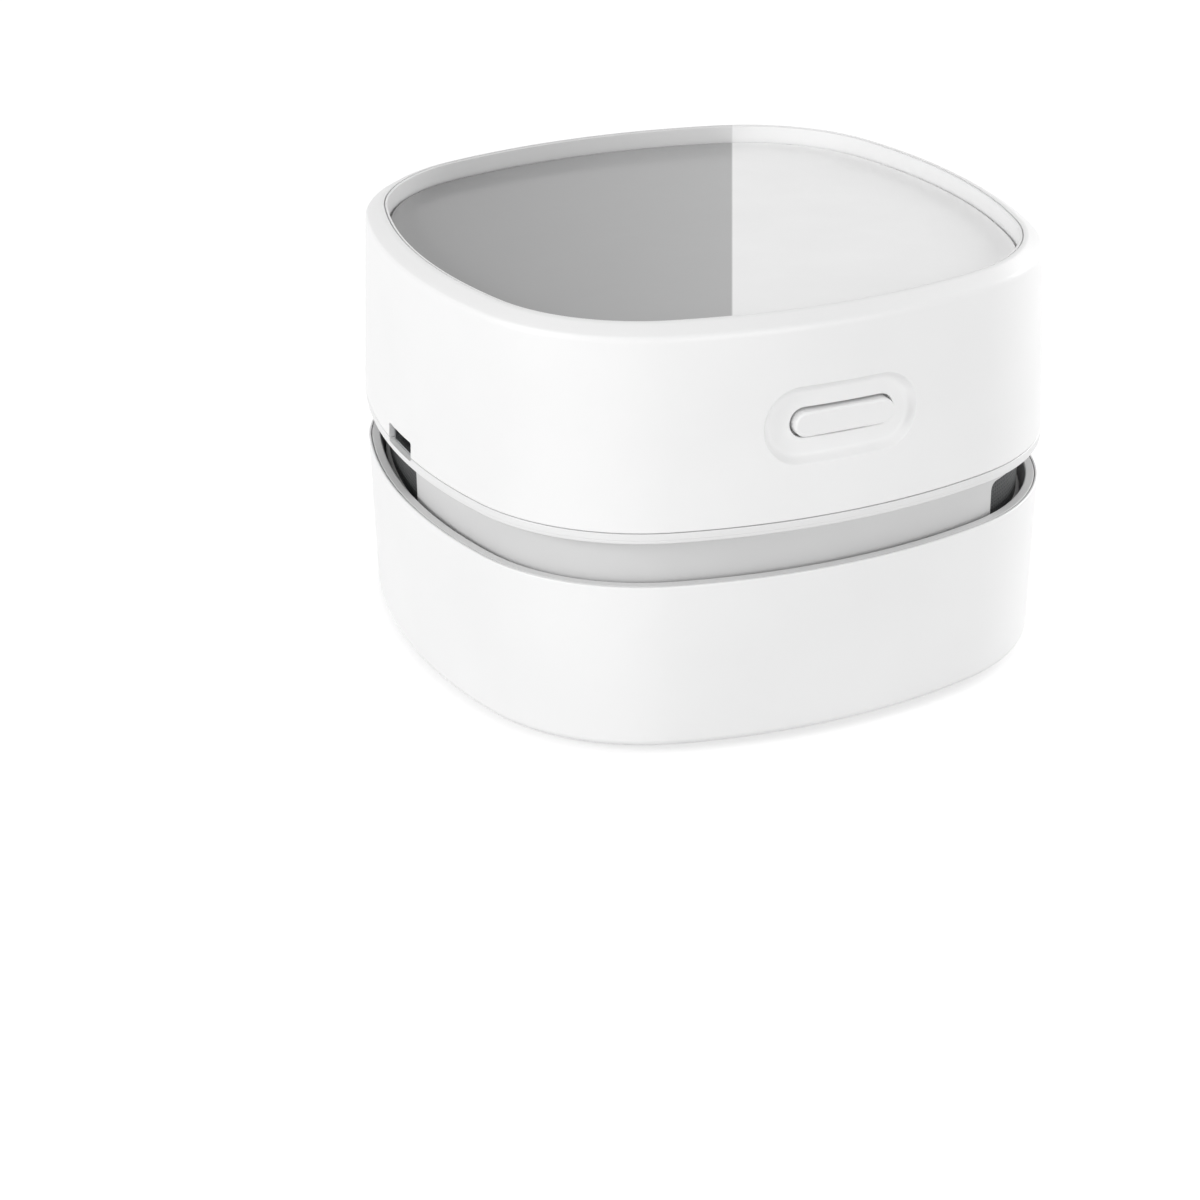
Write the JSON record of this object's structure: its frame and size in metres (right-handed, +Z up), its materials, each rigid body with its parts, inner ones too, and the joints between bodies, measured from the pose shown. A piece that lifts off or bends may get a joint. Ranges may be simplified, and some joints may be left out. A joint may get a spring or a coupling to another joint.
{
  "type": "desktop vacuum cleaner",
  "caption": "Rounded-square desktop vacuum cleaner with a lift-off motor head over a dust cup, exhaust windows in the neck, a push button and a charging socket.",
  "frame": {"origin": "on the resting plane under the middle of the feet", "axes": "+Z up, -Y towards the button side, -X towards the charging socket"},
  "size_m": [0.085, 0.085, 0.0559],
  "materials": {
    "white_plastic": "satin white moulded plastic",
    "ring_plastic": "satin white moulded plastic",
    "grey_plastic": "satin light grey moulded plastic",
    "panel_gloss": "glossy two-tone plate, grey and white",
    "button_white": "satin white",
    "dark_mesh": "dark woven mesh",
    "black_rubber": "soft rubber",
    "bristle": "dark grey nylon bristles",
    "seal": "grey silicone",
    "filter_paper": "pleated filter paper",
    "steel": "plated sheet steel",
    "brass": "turned brass",
    "rotor_iron": "laminated iron and copper winding",
    "ferrite": "dark ferrite",
    "cell_wrap": "blue shrink wrap",
    "board": "green circuit board",
    "black_plastic": "black moulded plastic",
    "fan_plastic": "pale moulded plastic"
  },
  "bodies": {
    "cup": {"outer_cup": "white_plastic", "dust_liner": "grey_plastic", "inlet_hub": "grey_plastic", "inlet_deflector": "grey_plastic", "nozzle_holder": "grey_plastic", "brush_front": "bristle", "brush_right": "bristle", "brush_back": "bristle", "brush_left": "bristle", "seal_ring": "seal", "foot_front_left": "black_rubber", "foot_front_right": "black_rubber", "foot_back_left": "black_rubber", "foot_back_right": "black_rubber"},
    "head": {"head_shell": "white_plastic", "chassis": "ring_plastic", "neck": "grey_plastic", "fan_cover": "grey_plastic", "filter_frame": "grey_plastic", "top_panel": "panel_gloss", "exhaust_mesh_left": "dark_mesh", "exhaust_mesh_right": "dark_mesh", "filter_medium": "filter_paper", "chassis_screw_front_left": "steel", "chassis_screw_front_right": "steel", "chassis_screw_back_left": "steel", "chassis_screw_back_right": "steel", "motor_screw_a": "steel", "motor_screw_b": "steel", "cover_screw_a": "steel", "cover_screw_b": "steel", "motor_can": "steel", "usb_shell": "steel", "motor_bush": "brass", "motor_terminal_a": "brass", "motor_terminal_b": "brass", "motor_magnet_a": "ferrite", "motor_magnet_b": "ferrite", "battery_cell": "cell_wrap", "main_board": "board", "switch_board": "board", "charge_chip": "black_plastic", "motor_end_cap": "black_plastic", "battery_cradle": "black_plastic", "usb_tongue": "black_plastic", "switch_body": "black_plastic"},
    "button": {"power_button": "button_white", "switch_plunger": "black_plastic"},
    "rotor": {"motor_shaft": "steel", "armature": "rotor_iron", "impeller": "fan_plastic"}
  },
  "joints": [
    {"name": "head_lift", "type": "slide", "parent": "cup", "child": "head", "axis": [0, 0, 1], "range_m": [0, 0.03]},
    {"name": "button_press", "type": "slide", "parent": "head", "child": "button", "axis": [0, 1, 0], "range_m": [0, 0.0005], "stiffness_N_per_m": 3000},
    {"name": "rotor_spin", "type": "hinge", "parent": "head", "child": "rotor", "pos_m": [0, 0, 0.0272], "axis": [0, 0, 1], "continuous": true}
  ]
}
